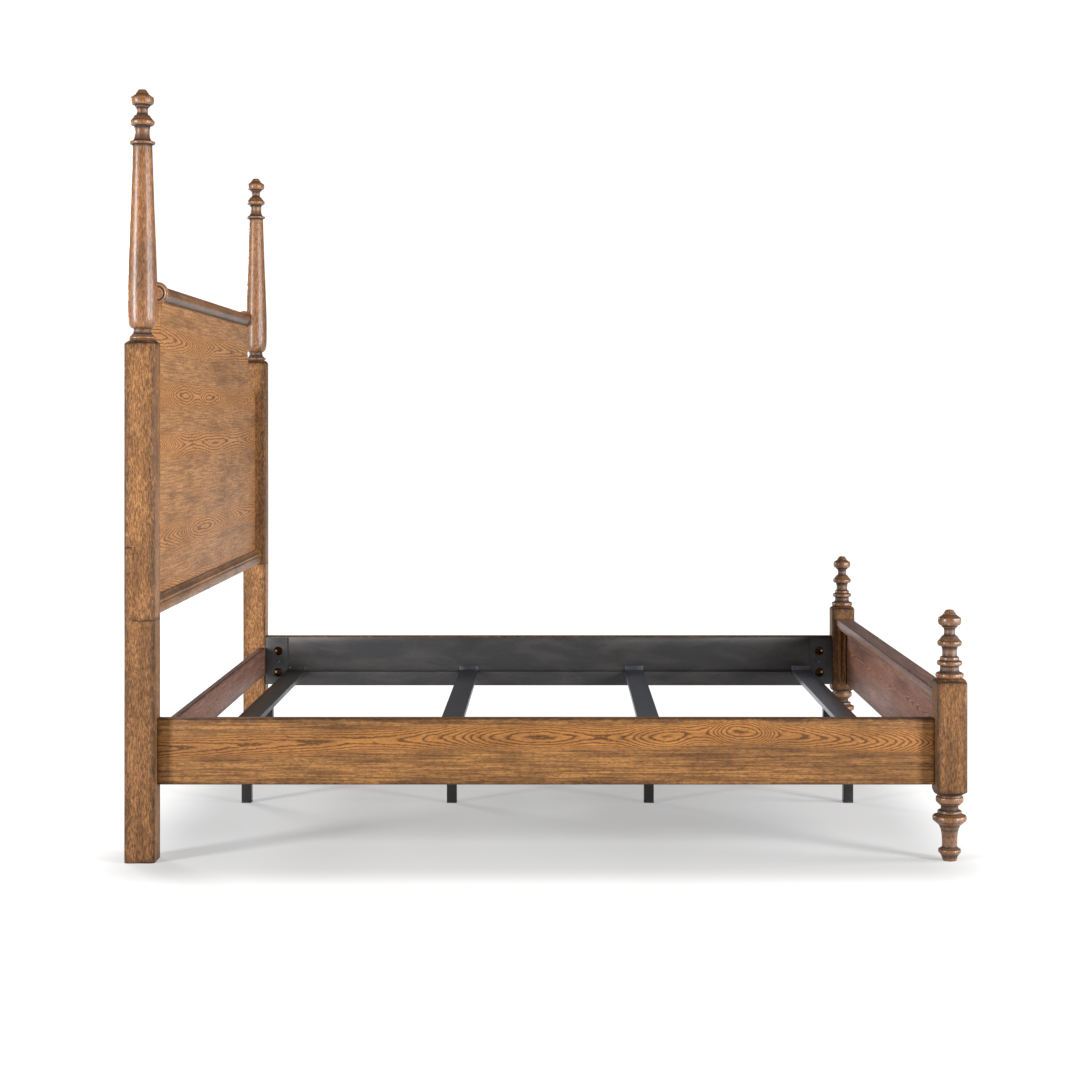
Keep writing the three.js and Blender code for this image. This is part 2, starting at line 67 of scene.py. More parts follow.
class Graph:
    """A material's node tree, with a short call for each kind of node used here."""

    def __init__(self, name):
        self.material = bpy.data.materials.new(name)
        self.material.use_nodes = True
        tree = self.material.node_tree
        tree.nodes.clear()
        self.nodes = tree.nodes
        self.links = tree.links
        self.bsdf = self.node("BsdfPrincipled")
        out = self.nodes.new("ShaderNodeOutputMaterial")
        self.links.new(self.bsdf.outputs[0], out.inputs[0])

    def put(self, socket, value):
        if isinstance(value, bpy.types.NodeSocket):
            self.links.new(value, socket)
        else:
            socket.default_value = value

    def node(self, kind, values=(), **settings):
        made = self.nodes.new("ShaderNode" + kind)
        for key, value in settings.items():
            setattr(made, key, value)
        for key, value in dict(values).items():
            self.put(made.inputs[key], value)
        return made

    def math(self, operation, *values, clamp=False):
        made = self.node("Math", dict(enumerate(values)), operation=operation)
        made.use_clamp = clamp
        return made.outputs[0]

    def mix(self, factor, a, b):
        made = self.node("Mix", {0: factor}, data_type="RGBA")
        for index, value in ((6, a), (7, b)):
            self.put(made.inputs[index], value if not isinstance(value, tuple) else (*value, 1))
        return made.outputs[2]

    def remap(self, value, low, high, out_low=0.0, out_high=1.0):
        values = {0: value, 1: low, 2: high, 3: out_low, 4: out_high}
        return self.node("MapRange", values, interpolation_type="SMOOTHSTEP").outputs[0]

    def vector(self, x, y, z):
        return self.node("CombineXYZ", {0: x, 1: y, 2: z}).outputs[0]

    def stretch(self, uvw, su, sv, sw, seed=0.0):
        values = {"Vector": uvw, "Location": (seed, seed * 1.7, seed * 2.3), "Scale": (su, sv, sw)}
        return self.node("Mapping", values).outputs[0]

    def noise(self, vector, detail=2.0, roughness=0.5, distortion=0.0):
        values = {"Vector": vector, "Scale": 1.0, "Detail": detail, "Roughness": roughness,
                  "Distortion": distortion}
        return self.node("TexNoise", values).outputs[0]

    def curve(self, value, points):
        made = self.node("FloatCurve", {1: value})
        line = made.mapping.curves[0]
        while len(line.points) < len(points):
            line.points.new(0, 0)
        for point, (x, y) in zip(line.points, points):
            point.location = (x, y)
        made.mapping.update()
        return made.outputs[0]

    def surface(self, colour, roughness, bump, strength, distance, metallic=0.0, coat=0.0, coat_rough=0.2,
                specular=0.5):
        self.put(self.bsdf.inputs["Base Color"], colour)
        self.put(self.bsdf.inputs["Roughness"], roughness)
        self.put(self.bsdf.inputs["Metallic"], metallic)
        self.put(self.bsdf.inputs["Specular IOR Level"], specular)
        self.put(self.bsdf.inputs["Coat Weight"], coat)
        self.put(self.bsdf.inputs["Coat Roughness"], coat_rough)
        values = {"Height": bump, "Strength": strength, "Distance": distance}
        self.put(self.bsdf.inputs["Normal"], self.node("Bump", values).outputs[0])
        return self.material


def shaded(colour, factor):
    return tuple(c * factor for c in colour)


GRAIN = {"x": "XZY", "y": "YZX", "z": "ZXY"}  # along the grain, across the face, into it


def grain_space(g, grain, origin):
    """(vector, u, v, w): u along the grain, v across it, w into the wood, from origin."""
    place = g.node("TexCoord").outputs["Object"]
    moved = g.node("Mapping", {"Vector": place, "Location": tuple(-c for c in origin)}).outputs[0]
    split = g.node("SeparateXYZ", {0: moved})
    u, v, w = (split.outputs[axis] for axis in GRAIN[grain])
    return g.vector(u, v, w), u, v, w


def edge_distance(g, low, high):
    """Distance from a surface point to the nearest edge of a box: the middle of three distances."""
    place = g.node("SeparateXYZ", {0: g.node("TexCoord").outputs["Object"]})
    gaps = []
    for axis in range(3):
        middle = (low[axis] + high[axis]) / 2
        off = g.math("ABSOLUTE", g.math("SUBTRACT", place.outputs[axis], middle))
        gaps.append(g.math("SUBTRACT", (high[axis] - low[axis]) / 2, off))
    least = g.math("MINIMUM", gaps[0], g.math("MINIMUM", gaps[1], gaps[2]))
    most = g.math("MAXIMUM", gaps[0], g.math("MAXIMUM", gaps[1], gaps[2]))
    total = g.math("ADD", gaps[0], g.math("ADD", gaps[1], gaps[2]))
    return g.math("SUBTRACT", total, g.math("ADD", least, most))


def along(g, u, points):
    """A smooth value at u through (place, value) points."""
    first, last = points[0][0], points[-1][0]
    most = max(value for _, value in points) * 1.2
    spots = [((x - first) / (last - first), value / most) for x, value in points]
    place = g.math("MULTIPLY_ADD", u, 1 / (last - first), -first / (last - first))
    return g.math("MULTIPLY", g.curve(place, spots), most)


RING_WIDTH = 0.013
ARCH_NOSE = 0.0025


def cathedral(g, uvw, v, centre, path, half, power, seed):
    """(line, strip): the dark growth lines of a flat-sawn strip, and where the strip is. path counts
    the growth rings passed along the strip, and power shapes their arches across it."""
    drift = g.noise(g.stretch(uvw, 2.2, 0, 0, seed), 1)
    sway = g.math("MULTIPLY_ADD", drift, 0.024, -0.012)
    across = g.math("SUBTRACT", g.math("SUBTRACT", v, centre), sway)
    off = g.math("SQRT", g.math("MULTIPLY_ADD", across, across, ARCH_NOSE ** 2))
    spread = g.math("POWER", g.math("DIVIDE", off, RING_WIDTH), power)
    wobble = g.math("MULTIPLY", g.noise(g.stretch(uvw, 26, 70, 0, seed + 3), 2), 0.9)
    ragged = g.math("MULTIPLY", g.noise(g.stretch(uvw, 90, 420, 0, seed + 6), 2), 0.5)
    phase = g.math("ADD", g.math("ADD", spread, path), g.math("ADD", wobble, ragged))
    turn = g.math("FRACT", phase)
    rise = g.remap(turn, 0.0, 0.16)
    fall = g.remap(turn, 0.22, 0.62, 1.0, 0.0)
    strip = g.remap(off, half * 0.75, half * 1.5, 1.0, 0.0)
    return g.math("MULTIPLY", rise, fall), strip


# ---- oak ----------------------------------------------------------------------------------

# The dark of the glaze on edges, and of the painted shade in grooves and where pieces meet.
GLAZE_AND_SHADE = (0.013, 0.0075, 0.0055)
STRIP_WARMTH = (1.1, 0.96, 0.8)
GROOVE_BUMP = 0.12
GRAIN_BUMP = 0.35


def figured(g, colour, grain, bands, half, power, light, dark, seed):
    """(colour, lines): the colour with flat-sawn strips drawn over it, and their growth lines. Each
    band is a strip's middle, as one place or several along it, and the rings passed along it."""
    uvw, u, v, _ = grain
    golden = tuple(c * warmth for c, warmth in zip(light, STRIP_WARMTH))
    lines = 0.0
    for index, (centre, pith) in enumerate(bands):
        course = along(g, u, pith)
        if isinstance(centre, tuple):
            centre = along(g, u, centre)
        line, strip = cathedral(g, uvw, v, centre, course, half, power, seed + index * 4.1)
        colour = g.mix(g.math("MULTIPLY", strip, 0.6), colour, golden)
        shown = g.math("MULTIPLY", line, g.math("MULTIPLY_ADD", strip, 0.86, 0.03))
        lines = g.math("MAXIMUM", lines, shown)
    return g.mix(g.math("MULTIPLY", lines, 0.85), colour, shaded(dark, 0.5)), lines


def edge_glazed(g, colour, box, edge, patchiness):
    """The colour darkened along the edges of a box: a soft wide band and a dark narrow one."""
    distance = edge_distance(g, *box)
    for width, strength in ((3.2 * edge, 0.58), (0.7 * edge, 0.95)):
        reach = g.math("MULTIPLY_ADD", g.remap(patchiness, 0.3, 0.7), 1.6 * width, 0.2 * width)
        near_edge = g.math("SUBTRACT", 1.0, g.math("DIVIDE", distance, reach), clamp=True)
        colour = g.mix(g.math("MULTIPLY", near_edge, strength), colour, GLAZE_AND_SHADE)
    return colour


def seam_shaded(g, colour, seam, patchiness):
    """Painted shade: the colour darkened near one place on an axis, where another piece meets this one."""
    axis, value, reach = seam
    place = g.node("SeparateXYZ", {0: g.node("TexCoord").outputs["Object"]}).outputs[axis]
    off = g.math("ABSOLUTE", g.math("SUBTRACT", place, value))
    gap = g.math("DIVIDE", off, reach)
    seam_shade = g.math("SUBTRACT", g.math("MULTIPLY_ADD", patchiness, 0.8, 0.6), gap, clamp=True)
    return g.mix(g.math("MULTIPLY", seam_shade, 0.9), colour, GLAZE_AND_SHADE)


def oak(name, grain, origin, seed, light, mid, dark, box=None, turned=False, bands=(),
        half=0.03, edge=0.006, rough=0.5, coat=0.04, coat_rough=0.3, smudge=0.35, mottling=0.55,
        specular=0.15, tone=1.0, power=1.6, seams=(), run=7, cross=230):
    """Glazed open-pored oak. run and cross set the fineness of its streaks, bands its flat-sawn
    strips. box darkens the piece's edges, seams paint shade along the lines (axis, place, reach) where
    it meets other pieces, and turned reads the dark glazing and painted shade in the grooves."""
    g = Graph(name)
    light, mid, dark = (shaded(shade, tone) for shade in (light, mid, dark))
    space = grain_space(g, grain, origin)
    uvw = space[0]
    streak = g.noise(g.stretch(uvw, run, cross, cross, seed), 4, 0.65)
    broad = g.noise(g.stretch(uvw, 3, 26, 26, seed + 5), 3, 0.55)
    cloud = g.noise(g.stretch(uvw, 4, 9, 9, seed + 9), 4, 0.6)
    pores = g.remap(g.noise(g.stretch(uvw, 75, 620, 620, seed + 2), 2, 0.6), 0.52, 0.66)
    flecks = g.remap(g.noise(g.stretch(uvw, 60, 330, 330, seed + 7), 3, 0.65), 0.6, 0.68)
    mottle = g.noise(g.stretch(uvw, 60, 120, 120, seed + 12), 4, 0.72)
    # Patchy noise: the ragged wear of the edge glaze, and the patchiness of the painted shade.
    patchiness = g.noise(g.stretch(uvw, 45, 110, 110, seed + 4), 4, 0.65)

    colour = g.mix(g.remap(streak, 0.39, 0.62), mid, light)
    colour = g.mix(g.math("MULTIPLY", g.remap(broad, 0.42, 0.7), 0.45), colour, dark)
    colour = g.mix(g.math("MULTIPLY", g.remap(mottle, 0.4, 0.72), mottling), colour, dark)
    colour, lines = figured(g, colour, space, bands, half, power, light, dark, seed)
    marks = g.math("MULTIPLY_ADD", pores, 0.42, g.math("MULTIPLY", flecks, 0.5), clamp=True)
    colour = g.mix(marks, colour, shaded(dark, 0.5))
    cloudy = g.math("MULTIPLY", g.remap(cloud, 0.45, 0.75), smudge)
    colour = g.mix(cloudy, colour, shaded(dark, 0.6))
    if box:
        colour = edge_glazed(g, colour, box, edge, patchiness)
    # Painted shade along the lines where other pieces meet this one.
    for seam in seams:
        colour = seam_shaded(g, colour, seam, patchiness)

    roughness = g.math("MULTIPLY_ADD", pores, 0.2, g.math("MULTIPLY_ADD", cloud, 0.14, rough - 0.07))
    if turned:
        # Dark glazing and painted shade in the grooves, with less coat there.
        groove = g.node("Attribute", attribute_name="groove_glaze_and_shade").outputs["Fac"]
        glazing_and_shade = g.math("MULTIPLY", groove, g.math("MULTIPLY_ADD", patchiness, 1.2, 0.4), clamp=True)
        colour = g.mix(glazing_and_shade, colour, GLAZE_AND_SHADE)
        coat = g.math("MULTIPLY_ADD", glazing_and_shade, -coat, coat)
        roughness = g.math("MULTIPLY_ADD", glazing_and_shade, 0.35, roughness)
    height = g.math("MULTIPLY_ADD", streak, 0.3, g.math("MULTIPLY", pores, -0.7))
    height = g.math("MULTIPLY_ADD", lines, -0.35, height)
    bump = GROOVE_BUMP if turned else GRAIN_BUMP
    return g.surface(colour, roughness, height, bump, 0.4 * MM, coat=coat, coat_rough=coat_rough,
                     specular=specular)


# ---- steel --------------------------------------------------------------------------------


def black_steel(name, seed, base, rubbed, amount, rough=0.34, metallic=0.55):
    """Blackened sheet with hand-rubbed smudges and fine scratches along it."""
    g = Graph(name)
    place = g.node("TexCoord").outputs["Object"]
    smear = g.noise(g.stretch(place, 5, 9, 14, seed), 5, 0.62, 0.6)
    fine = g.noise(g.stretch(place, 40, 260, 260, seed + 2), 3, 0.6)
    speck = g.noise(g.stretch(place, 130, 130, 130, seed + 4), 2, 0.6)
    tone = g.math("MULTIPLY", g.remap(smear, 0.38, 0.7), amount)
    scratches = g.math("MULTIPLY", g.remap(fine, 0.55, 0.75), 0.3)
    specks = g.math("MULTIPLY", g.remap(speck, 0.66, 0.76), 0.35)
    colour = g.mix(tone, base, rubbed)
    colour = g.mix(scratches, colour, shaded(base, 1.8))
    colour = g.mix(specks, colour, shaded(base, 0.4))
    roughness = g.math("MULTIPLY_ADD", smear, 0.3, rough - 0.12)
    height = g.math("MULTIPLY_ADD", fine, 0.4, g.math("MULTIPLY", smear, 0.6))
    return g.surface(colour, roughness, height, 0.18, 0.0003, metallic=metallic)


def bright_metal(name, seed, base, shade, rough):
    g = Graph(name)
    place = g.node("TexCoord").outputs["Object"]
    stain = g.noise(g.stretch(place, 240, 240, 240, seed), 3, 0.6)
    colour = g.mix(g.remap(stain, 0.35, 0.7), base, shade)
    roughness = g.math("MULTIPLY_ADD", stain, 0.25, rough)
    return g.surface(colour, roughness, stain, 0.15, 0.0002, metallic=1.0)


def black_plastic(name, seed):
    g = Graph(name)
    place = g.node("TexCoord").outputs["Object"]
    pebble = g.noise(g.stretch(place, 900, 900, 900, seed), 2, 0.5)
    colour = g.mix(pebble, (0.012, 0.012, 0.013), (0.022, 0.022, 0.024))
    return g.surface(colour, g.math("MULTIPLY_ADD", pebble, 0.2, 0.45), pebble, 0.3, 0.0002)


# ---- solids -------------------------------------------------------------------------------


def make(name, bm, materials, stands_for=(), sharp=34):
    """Turns a bmesh into a shaded piece that rides on the bed."""
    bmesh.ops.remove_doubles(bm, verts=bm.verts, dist=1e-6)
    bmesh.ops.recalc_face_normals(bm, faces=bm.faces)
    for face in bm.faces:
        face.smooth = True
    for edge in bm.edges:
        edge.smooth = len(edge.link_faces) == 2 and edge.calc_face_angle() < math.radians(sharp)
    mesh = bpy.data.meshes.new(name)
    bm.to_mesh(mesh)
    bm.free()
    for material in materials:
        mesh.materials.append(material)
    obj = bpy.data.objects.new(name, mesh)
    scene.collection.objects.link(obj)
    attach(obj, "root")
    if stands_for:
        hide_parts(*stands_for)
    return obj


def carve(bm, tool):
    """The bmesh with the tool bmesh taken away; both are used up."""
    pair = []
    for part in (bm, tool):
        bmesh.ops.recalc_face_normals(part, faces=part.faces)
        mesh = bpy.data.meshes.new("carving")
        part.to_mesh(mesh)
        part.free()
        obj = bpy.data.objects.new("carving", mesh)
        scene.collection.objects.link(obj)
        pair.append(obj)
    cutter = pair[0].modifiers.new("cut", "BOOLEAN")
    cutter.object = pair[1]
    cutter.operation = "DIFFERENCE"
    cutter.solver = "EXACT"
    bpy.context.view_layer.update()
    result = bmesh.new()
    result.from_mesh(pair[0].evaluated_get(bpy.context.evaluated_depsgraph_get()).to_mesh())
    for obj in pair:
        bpy.data.objects.remove(obj)
    return result


def ease(bm, radius, segments, angle=28, material=-1):
    """Rounds every edge sharper than angle; the rounds can take a material of their own."""
    limit = math.radians(angle)
    edges = [e for e in bm.edges if len(e.link_faces) == 2 and e.calc_face_angle() > limit]
    bmesh.ops.bevel(bm, geom=edges, offset=radius, segments=segments, profile=0.5, affect="EDGES",
                    clamp_overlap=True, material=material)
    return bm


def block(low, high, radius=0.0, segments=2):
    bm = bmesh.new()
    size = Vector(high) - Vector(low)
    middle = (Vector(high) + Vector(low)) / 2
    bmesh.ops.create_cube(bm, size=1, matrix=Matrix.Translation(middle) @ Matrix.Diagonal((*size, 1)))
    return ease(bm, radius, segments) if radius else bm


def from_cad(node, radius, segments=2):
    """The CAD node's own faces, merged flat and with their edges eased."""
    bm = bmesh.new()
    bm.from_mesh(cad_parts[node].data)
    bmesh.ops.remove_doubles(bm, verts=bm.verts, dist=1e-5)
    bmesh.ops.dissolve_limit(bm, angle_limit=math.radians(0.4), verts=bm.verts, edges=bm.edges)
    for face in bm.faces:
        face.material_index = 0
    return ease(bm, radius, segments)


def turn(points, segments):
    """A closed solid turned about Z from (radius, height) points."""
    bm = bmesh.new()
    rings = []
    for r, z in points:
        if r < 1e-6:
            rings.append([bm.verts.new((0, 0, z))] * segments)
            continue
        spots = [2 * math.pi * k / segments for k in range(segments)]
        rings.append([bm.verts.new((r * math.cos(a), r * math.sin(a), z)) for a in spots])
    for lower, upper in zip(rings, rings[1:]):
        for k in range(segments):
            after = (k + 1) % segments
            corners = [lower[k], lower[after], upper[after], upper[k]]
            corners = [c for i, c in enumerate(corners) if c not in corners[:i]]
            if len(corners) > 2:
                bm.faces.new(corners)
    return bm


def rod(start, end, x, z, radius, segments, ease_by=0.0):
    """A round bar along Y from start to end, with its ends eased."""
    e = ease_by
    side = [(0, start), (radius - e, start), (radius, start + e), (radius, end - e), (radius - e, end),
            (0, end)]
    bm = turn(side, segments)
    place = Matrix(((1, 0, 0, x), (0, 0, 1, 0), (0, 1, 0, z), (0, 0, 0, 1)))
    bmesh.ops.transform(bm, matrix=place, verts=bm.verts)
    return bm


# ---- turned outlines ----------------------------------------------------------------------

ARC_STEPS = 9
POINT_GAP = 2
CORNER_CUT = 0.7
SEGMENTS = 96


def outline(profile):
    """Points of a turning read upward as (kind, radius, height) in millimetres: 'to' is straight,
    'round' a convex quarter and 'hollow' a concave one."""
    _, r, z = profile[0]
    points = [(0, z), (r, z)]
    for kind, next_r, next_z in profile[1:]:
        widening = next_r > r
        if kind == "to":
            steps, bend = 1, ((r + next_r) / 2, (z + next_z) / 2)
        elif kind == "round":
            steps, bend = ARC_STEPS, (max(r, next_r), z if widening else next_z)
        else:
            steps, bend = ARC_STEPS, (min(r, next_r), next_z if widening else z)
        for k in range(1, steps + 1):
            t = k / steps
            weights = ((1 - t) ** 2, 2 * t * (1 - t), t * t)
            ends = ((r, z), bend, (next_r, next_z))
            points.append(tuple(sum(w * e[i] for w, e in zip(weights, ends)) for i in (0, 1)))
        r, z = next_r, next_z
    if r > 0:
        points.append((0, z))
    return points


def relaxed(points):
    """Takes the corners off an outline and fills long runs with points."""
    kept = [points[0]]
    for before, here, after in zip(points, points[1:], points[2:]):
        a = Vector(before) - Vector(here)
        b = Vector(after) - Vector(here)
        short = a.length < 1e-6 or b.length < 1e-6
        if short or a.angle(b) > math.radians(155) or here[0] < 1:
            kept.append(here)
            continue
        for arm in (a, b):
            reach = min(CORNER_CUT, arm.length * 0.4)
            kept.append(tuple(Vector(here) + arm.normalized() * reach))
    kept.append(points[-1])
    filled = []
    for a, b in zip(kept, kept[1:]):
        count = max(1, int((Vector(b) - Vector(a)).length / POINT_GAP))
        filled += [tuple(Vector(a).lerp(Vector(b), k / count)) for k in range(count)]
    return filled + [kept[-1]]


# Reach of the painted shade at a turning's seats, where it stands against another piece.
SEAT_DARKENING = 3.0
SMALLEST_SEAT = 5
HOLLOWS = ((2.5, 0.42), (9.0, 16.0))  # how far to either side a hollow is felt, and how deep is full


def groove_darkening(points):
    """How dark each outline point is made: dark glazing with painted shade in inner corners and coves, and
    painted shade at the seats at its ends.
    """
    line = [Vector(p) for p in points]
    run = [0.0]
    for before, here in zip(line, line[1:]):
        run.append(run[-1] + (here - before).length)
    amounts = []
    for i, here in enumerate(line):
        amount = 0.0
        for reach, depth in HOLLOWS:
            before = next((line[j] for j in range(i, -1, -1) if run[i] - run[j] >= reach), line[0])
            after = next((line[j] for j in range(i, len(line)) if run[j] - run[i] >= reach), line[-1])
            chord = (after - before).normalized()
            amount = max(amount, (before - here).dot(Vector((chord.y, -chord.x))) / depth)
        for end in (line[1], line[-2]):
            if end.x > SMALLEST_SEAT:
                amount = max(amount, 0.9 * (1 - abs(here.y - end.y) / SEAT_DARKENING))
        amounts.append(min(1.0, amount))
    smooth = []
    for i in range(len(amounts)):
        close = amounts[max(0, i - 1):i + 2]
        smooth.append(sum(close) / len(close))
    return smooth


UNEVEN = 0.22 * MM


def turned_piece(name, profile, place, material, stands_for):
    """A turned piece stood at place, its grooves darkened with glazing and painted shade and its beads
    slightly uneven.
    """
    points = relaxed(outline(profile))
    groove_glaze_and_shade = groove_darkening(points)
    bm = turn([(r * MM, z * MM) for r, z in points], SEGMENTS)
    layer = bm.verts.layers.float.new("groove_glaze_and_shade")
    amounts = []
    for (r, _), amount in zip(points, groove_glaze_and_shade):
        amounts += [amount] * (SEGMENTS if r > 0.001 else 1)
    for vertex, amount in zip(bm.verts, amounts):
        vertex[layer] = amount
        if vertex.co.xy.length > 0.005:
            swell = noise.noise(vertex.co * 60 + Vector(place) * 9) * UNEVEN
            vertex.co.xy += vertex.co.xy.normalized() * swell
    bmesh.ops.translate(bm, verts=bm.verts, vec=place)
    return make(name, bm, [material], stands_for, sharp=50)


KNOB = [("to", 19.6, 0), ("hollow", 26, 15), ("round", 32.5, 24), ("round", 30, 28.5), ("to", 21.5, 39.5),
        ("to", 20.8, 42), ("hollow", 14.7, 50), ("to", 14.7, 56), ("hollow", 19.2, 64.5), ("to", 20.2, 67.5),
        ("to", 24, 71), ("round", 30.8, 83), ("round", 26.8, 92.5), ("to", 17.2, 99.5), ("to", 16.6, 101.8),
        ("to", 12, 108.5), ("round", 0, 112.5)]
HEAD_SHAFT = [("to", 32.5, 0), ("to", 32.5, 2.5), ("round", 36.8, 5.5), ("round", 33.4, 10), ("to", 31, 11),
              ("round", 29.6, 14), ("hollow", 23.7, 30), ("to", 23.7, 31.5), ("round", 39.5, 71),
              ("to", 40, 118), ("to", 39.3, 164), ("to", 35.9, 260), ("to", 31.5, 366), ("to", 26.3, 521),
              ("hollow", 32.4, 526), ("round", 34.2, 529.5), ("round", 31.8, 533), ("hollow", 19.6, 556)]
FOOT_BASE = [("to", 34.5, 0), ("to", 35, 2), ("round", 37.5, 7.5), ("round", 34, 13.5), ("to", 31.5, 15),
             ("hollow", 25.2, 24), ("to", 25.2, 29), ("hollow", 29, 34), ("round", 33.6, 39.5),
             ("round", 29, 46), ("to", 24.6, 47.5), ("round", 25.8, 51.5), ("round", 23.4, 56.5),
             ("hollow", 19.4, 65)]
TURNED_FOOT = [("to", 17.5, 0), ("round", 19, 2.5), ("to", 21.4, 11), ("to", 24.6, 17), ("to", 28.6, 21.5),
               ("round", 30.4, 26), ("round", 27, 31.5), ("to", 21.4, 36), ("hollow", 20.1, 44),
               ("to", 20.8, 66), ("to", 23.4, 82), ("to", 28.6, 95), ("to", 36.5, 101.5), ("to", 43, 107.5),
               ("round", 45.5, 113.5), ("round", 40.5, 122), ("to", 31, 127), ("round", 32.6, 130.5),
               ("round", 28.6, 135), ("hollow", 23.4, 142), ("to", 23.4, 147.5), ("to", 27.4, 149.5),
               ("to", 33.5, 156), ("round", 36.8, 163), ("to", 36.8, 168), ("round", 33, 172),
               ("to", 33, 176.7)]
ROLL_CAP = [("to", 22, 0), ("to", 25.5, 0), ("round", 31.5, 6.5), ("round", 27, 12), ("to", 22.4, 11.5),
            ("to", 19.6, 7.5), ("to", 18.4, 7.5), ("to", 17.6, 11), ("round", 13, 13.5), ("to", 6, 14.5)]


def raised(profile, lift):
    return [(kind, r, z + lift) for kind, r, z in profile]


# ---- post blocks --------------------------------------------------------------------------

CHAMFER = 5.8 * MM
CORNER_ROUND = 1.6 * MM
END_ROUND = 1.3 * MM
FOOT_ROUND = 1.2 * MM
SHOULDER = [(0.034, 0.0), (0.041, 0.0045), (0.054, 0.011), (0.063, 0.016)]


def post_ring(half):
    """Plan of a chamfered post: an octagon with slightly rounded corners, with points along it."""
    c = half - CHAMFER
    corners = [(half, -c), (half, c), (c, half), (-c, half),
               (-half, c), (-half, -c), (-c, -half), (c, -half)]
    ring = []
    for i, here in enumerate(corners):
        here = Vector(here)
        before = (Vector(corners[i - 1]) - here).normalized() * CORNER_ROUND
        after = (Vector(corners[(i + 1) % 8]) - here).normalized() * CORNER_ROUND
        for t in (0, 0.33, 0.67, 1):
            ring.append(here + before * (1 - t) ** 2 + after * t * t)
    filled = []
    for a, b in zip(ring, ring[1:] + ring[:1]):
        count = max(1, int((b - a).length / 0.006))
        filled += [a.lerp(b, k / count) for k in range(count)]
    return filled


def shoulder_drop(r):
    if r <= SHOULDER[0][0]:
        return 0.0
    for (r0, d0), (r1, d1) in zip(SHOULDER, SHOULDER[1:]):
        if r <= r1:
            return d0 + (d1 - d0) * (r - r0) / (r1 - r0)
    return SHOULDER[-1][1]


def turned_end(ring, z, up):
    """Rings that close a post block with a lathe-cut shoulder, from its side to its middle."""
    rims = []
    for inset, drop in ((0.0, 1.0), (0.25, 0.3), (1.0, 0.0)):
        rim = []
        for p in ring:
            q = p * (1 - inset * END_ROUND / p.length)
            rim.append((q.x, q.y, z - up * (shoulder_drop(q.length) + drop * END_ROUND)))
        rims.append(rim)
    for t in (0.94, 0.9, 0.86, 0.82, 0.78, 0.74, 0.6, 0.3):
        rims.append([(p.x * t, p.y * t, z - up * shoulder_drop(p.length * t)) for p in ring])
    return rims


def flat_end(ring, z, up):
    """Rings that close a post block square, with an eased edge."""
    rims = []
    for inset, drop in ((0.0, 1.0), (0.3, 0.3), (1.0, 0.0)):
        rim = [p * (1 - inset * FOOT_ROUND / p.length) for p in ring]
        rims.append([(p.x, p.y, z - up * drop * FOOT_ROUND) for p in rim])
    return rims


def swept_block(rims, place):
    """A closed solid through rings of points, its first and last ring capped."""
    bm = bmesh.new()
    rows = [[bm.verts.new(p) for p in rim] for rim in rims]
    for lower, upper in zip(rows, rows[1:]):
        for k in range(len(lower)):
            after = (k + 1) % len(lower)
            bm.faces.new((lower[k], lower[after], upper[after], upper[k]))
    bm.faces.new(list(reversed(rows[0])))
    bm.faces.new(rows[-1])
    bmesh.ops.translate(bm, verts=bm.verts, vec=place)
    bmesh.ops.remove_doubles(bm, verts=bm.verts, dist=1e-6)
    bmesh.ops.dissolve_degenerate(bm, edges=bm.edges, dist=1e-7)
    return bm


# ---- finishes -----------------------------------------------------------------------------

POST_TONES = dict(run=90, cross=460, light=(0.355, 0.172, 0.066),
                  mid=(0.15, 0.065, 0.025), dark=(0.045, 0.02, 0.009))
TURN_TONES = dict(run=70, cross=460, light=(0.34, 0.145, 0.044),
                  mid=(0.135, 0.05, 0.017), dark=(0.03, 0.012, 0.006))
RAIL_TONES = dict(light=(0.33, 0.155, 0.048), mid=(0.145, 0.065, 0.022), dark=(0.05, 0.022, 0.01))
PANEL_TONES = dict(light=(0.39, 0.2, 0.083), mid=(0.225, 0.105, 0.044), dark=(0.095, 0.043, 0.021))
RED_TONES = dict(light=(0.275, 0.14, 0.1), mid=(0.16, 0.079, 0.058), dark=(0.06, 0.028, 0.023))

HEAD_X = sum(c.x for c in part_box("head_leg_near")) / 2
FOOT_X = sum(c.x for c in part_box("foot_post_block_near")) / 2
POST_Y = abs(sum(c.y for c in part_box("head_leg_near")) / 2)
HALF_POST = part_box("head_leg_near")[1].x - HEAD_X
HEAD_FRONT_X = HEAD_X + HALF_POST
HEAD_BACK_X = HEAD_X - HALF_POST
FOOT_FRONT_X = FOOT_X - HALF_POST
GAP = 0.3 * MM
LATHE_DROP = Vector((0, 0, 8 * MM))

zinc = bright_metal("yellow_zinc", 3, (0.8, 0.66, 0.46), (0.55, 0.38, 0.2), 0.2)
screw_steel = bright_metal("screw_steel", 8, (0.16, 0.16, 0.18), (0.07, 0.07, 0.08), 0.35)
cap_plastic = black_plastic("cap_plastic", 2)
frame_steel = black_steel("frame_steel", 5, (0.048, 0.048, 0.051), (0.11, 0.098, 0.088), 0.42, 0.4)
plate_steel = black_steel("plate_steel", 7, (0.03, 0.03, 0.033), (0.075, 0.068, 0.062), 0.5, 0.5, 0.3)
leg_steel = black_steel("leg_steel", 9, (0.022, 0.022, 0.024), (0.04, 0.04, 0.042), 0.4)


# ---- posts --------------------------------------------------------------------------------

